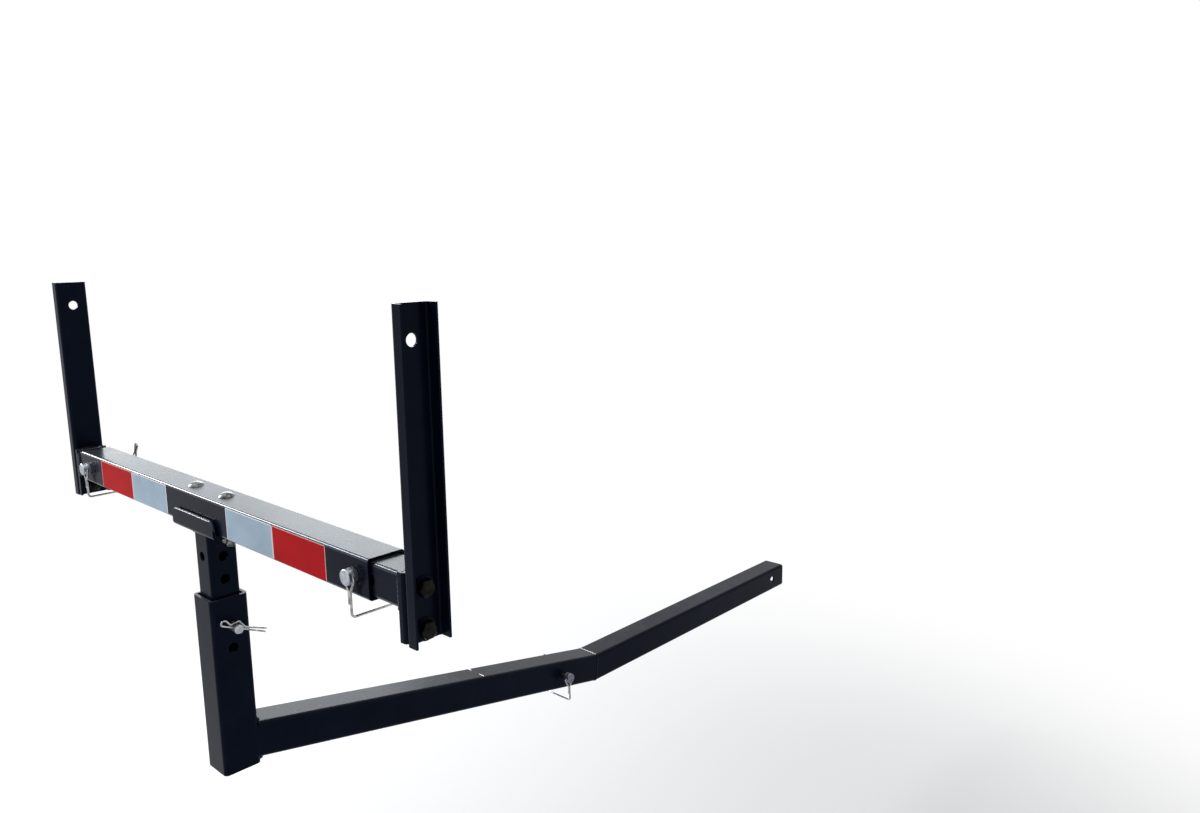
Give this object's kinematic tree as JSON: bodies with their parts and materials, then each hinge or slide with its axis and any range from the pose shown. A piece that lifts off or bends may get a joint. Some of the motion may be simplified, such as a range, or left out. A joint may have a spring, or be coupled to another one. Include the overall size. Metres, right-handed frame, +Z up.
{
  "type": "truck bed extender",
  "caption": "Hitch-mounted bed extender: a rising base tube carries a pinned telescoping post and a crossbar with sliding arms that end in upright load guides.",
  "frame": {"origin": "centre of the hitch pin hole in the square shank", "axes": "+Y along the shank towards the vehicle, +X towards the vehicle's right along the hitch pin hole, +Z up"},
  "size_m": [0.8884, 1.3888, 0.7724],
  "materials": {
    "black_coat": "semi-gloss black powder coat",
    "zinc_plate": "zinc plated",
    "black_oxide": "black oxide, worn bright on the edges",
    "pin_steel": "zinc plated, worn",
    "spring_wire": "plated wire",
    "red_reflective": "retroreflective sheet with a fine cell pattern",
    "silver_reflective": "retroreflective sheet with a fine cell pattern"
  },
  "bodies": {
    "base": {"shank_tube": "black_coat", "stub_tube": "black_coat", "coupling_insert": "black_coat", "base_tube": "black_coat", "post_sleeve": "black_coat"},
    "post": {"inner_post": "black_coat", "saddle": "black_coat", "saddle_bolts": "zinc_plate", "saddle_washers": "zinc_plate", "saddle_nuts": "zinc_plate", "crossbar": "black_coat", "silver_panels": "silver_reflective", "red_panels": "red_reflective"},
    "base_lock": {"base_lock_pin": "pin_steel", "base_lock_bail": "spring_wire"},
    "post_lock": {"post_pin": "pin_steel", "post_pin_clip": "spring_wire"},
    "left_side": {"left_arm": "black_coat", "left_bracket": "black_coat", "left_upright": "black_coat", "left_upright_bolts": "black_oxide", "left_upright_washers": "black_oxide", "left_upright_nuts": "black_oxide"},
    "left_lock": {"left_lock_pin": "pin_steel", "left_lock_bail": "spring_wire"},
    "right_side": {"right_arm": "black_coat", "right_bracket": "black_coat", "right_upright": "black_coat", "right_upright_bolts": "black_oxide", "right_upright_washers": "black_oxide", "right_upright_nuts": "black_oxide"},
    "right_lock": {"right_lock_pin": "pin_steel", "right_lock_bail": "spring_wire"}
  },
  "joints": [
    {"name": "post_slide", "type": "slide", "parent": "base", "child": "post", "axis": [0, 0, 1], "range_m": [-0.062, 0.124]},
    {"name": "left_arm_slide", "type": "slide", "parent": "post", "child": "left_side", "axis": [-1, 0, 0], "range_m": [0, 0.1524]},
    {"name": "right_arm_slide", "type": "slide", "parent": "post", "child": "right_side", "axis": [1, 0, 0], "range_m": [-0.0254, 0.127]},
    {"name": "left_lock_turn", "type": "hinge", "parent": "post", "child": "left_lock", "pos_m": [-0.3565, -1.31, 0.467], "axis": [0, 1, 0], "range_deg": [-50, 50]},
    {"name": "right_lock_turn", "type": "hinge", "parent": "post", "child": "right_lock", "pos_m": [0.3565, -1.31, 0.467], "axis": [0, 1, 0], "range_deg": [-50, 50]},
    {"name": "base_lock_turn", "type": "hinge", "parent": "base", "child": "base_lock", "pos_m": [0, -0.70523, 0.01902], "axis": [1, 0, 0], "range_deg": [-60, 38]},
    {"name": "post_pin_turn", "type": "hinge", "parent": "base", "child": "post_lock", "pos_m": [0, -1.31, 0.3125], "axis": [1, 0, 0], "continuous": true}
  ]
}
